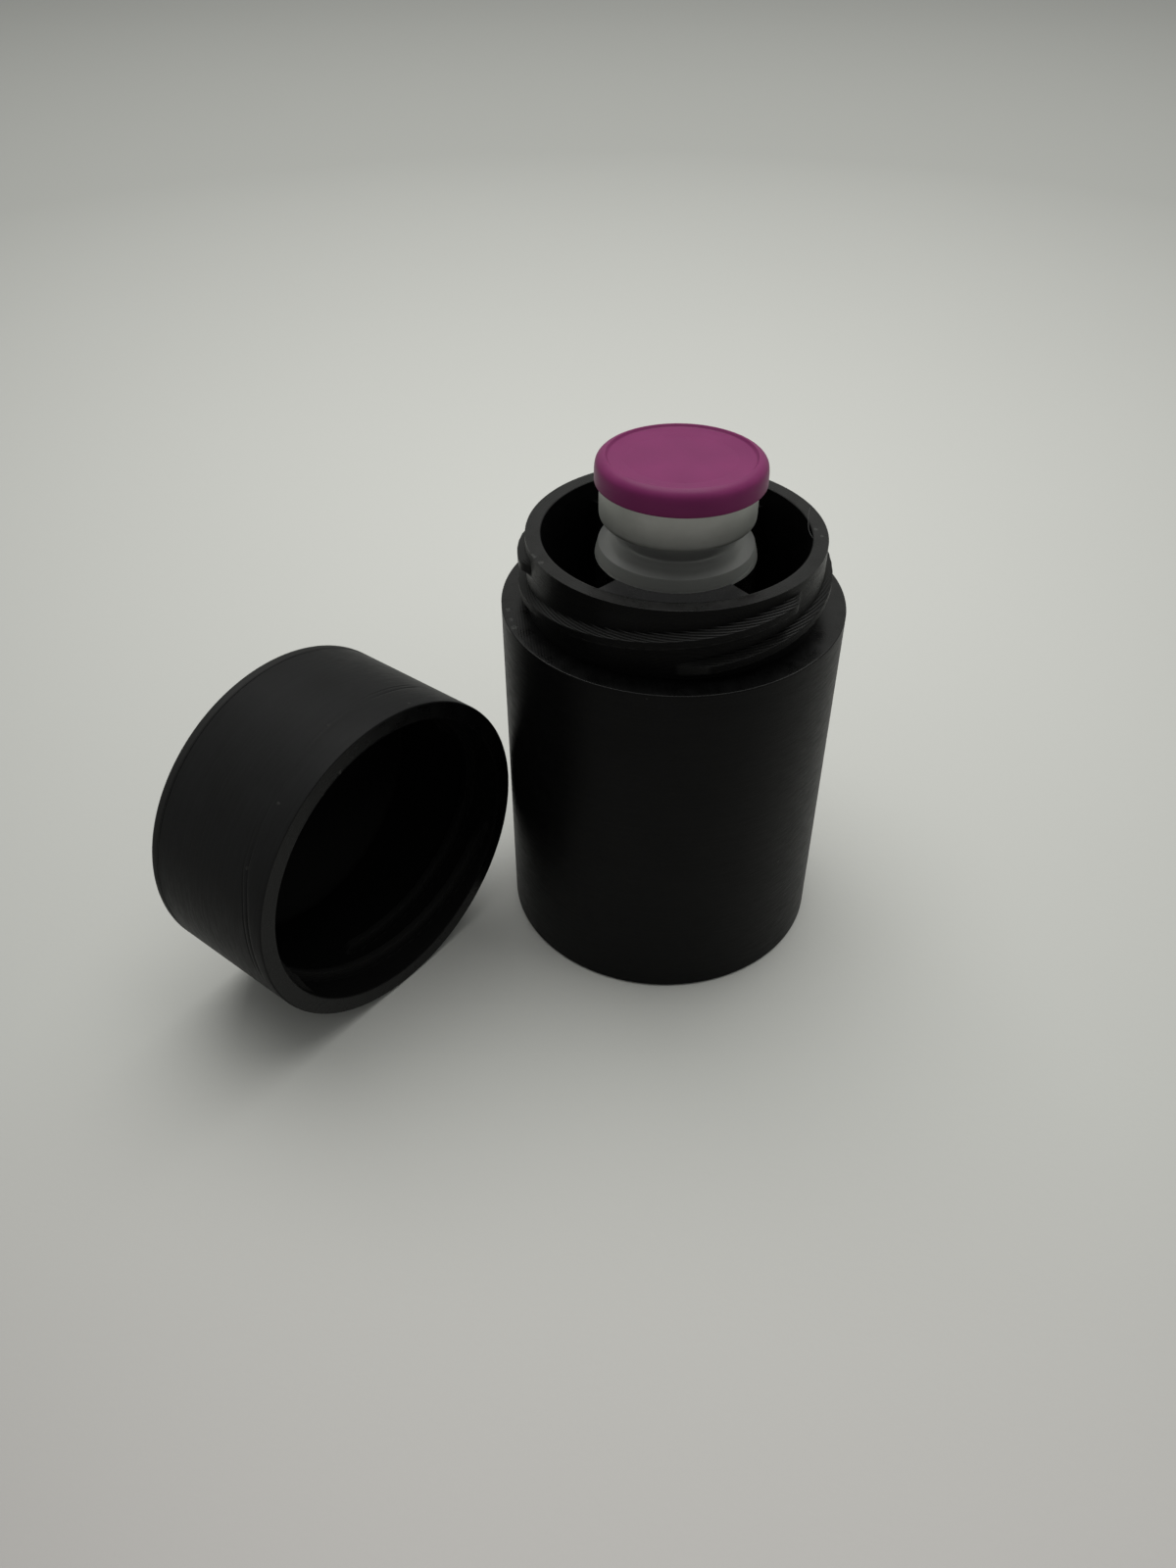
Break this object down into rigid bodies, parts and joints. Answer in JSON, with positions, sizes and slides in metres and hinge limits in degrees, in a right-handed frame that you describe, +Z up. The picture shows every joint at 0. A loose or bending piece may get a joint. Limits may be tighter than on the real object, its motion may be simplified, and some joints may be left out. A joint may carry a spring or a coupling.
{
  "type": "vial holder",
  "caption": "Round layer-printed holder with a threaded neck, its screw cap lying beside it, and a sealed flip-off vial standing between two finger pockets.",
  "frame": {"origin": "centre of the holder's flat bottom, on the holder's axis", "axes": "+Z up the holder's axis, -Y towards the front rib and the viewer, +X towards the right finger pocket, away from the lying cap"},
  "size_m": [0.0915, 0.0674, 0.0742],
  "materials": {
    "black_print": "satin black print with fine layer lines",
    "clear_glass": "clear",
    "grey_rubber": "matte",
    "satin_aluminium": "satin",
    "purple_plastic": "satin moulded"
  },
  "bodies": {
    "holder": {"holder_jar": "black_print"},
    "vial": {"vial_glass": "clear_glass", "stopper": "grey_rubber", "crimp_seal": "satin_aluminium"},
    "button": {"flip_button": "purple_plastic"},
    "cap": {"screw_cap": "black_print"}
  },
  "joints": [
    {"name": "vial_lift", "type": "slide", "parent": "holder", "child": "vial", "axis": [0, 0, 1], "range_m": [0, 0.05]},
    {"name": "button_pull", "type": "slide", "parent": "vial", "child": "button", "axis": [0, 0, 1], "range_m": [0, 0.02]},
    {"name": "cap_pick_up", "type": "slide", "parent": "holder", "child": "cap", "axis": [0, 0, 1], "range_m": [0, 0.06]}
  ]
}
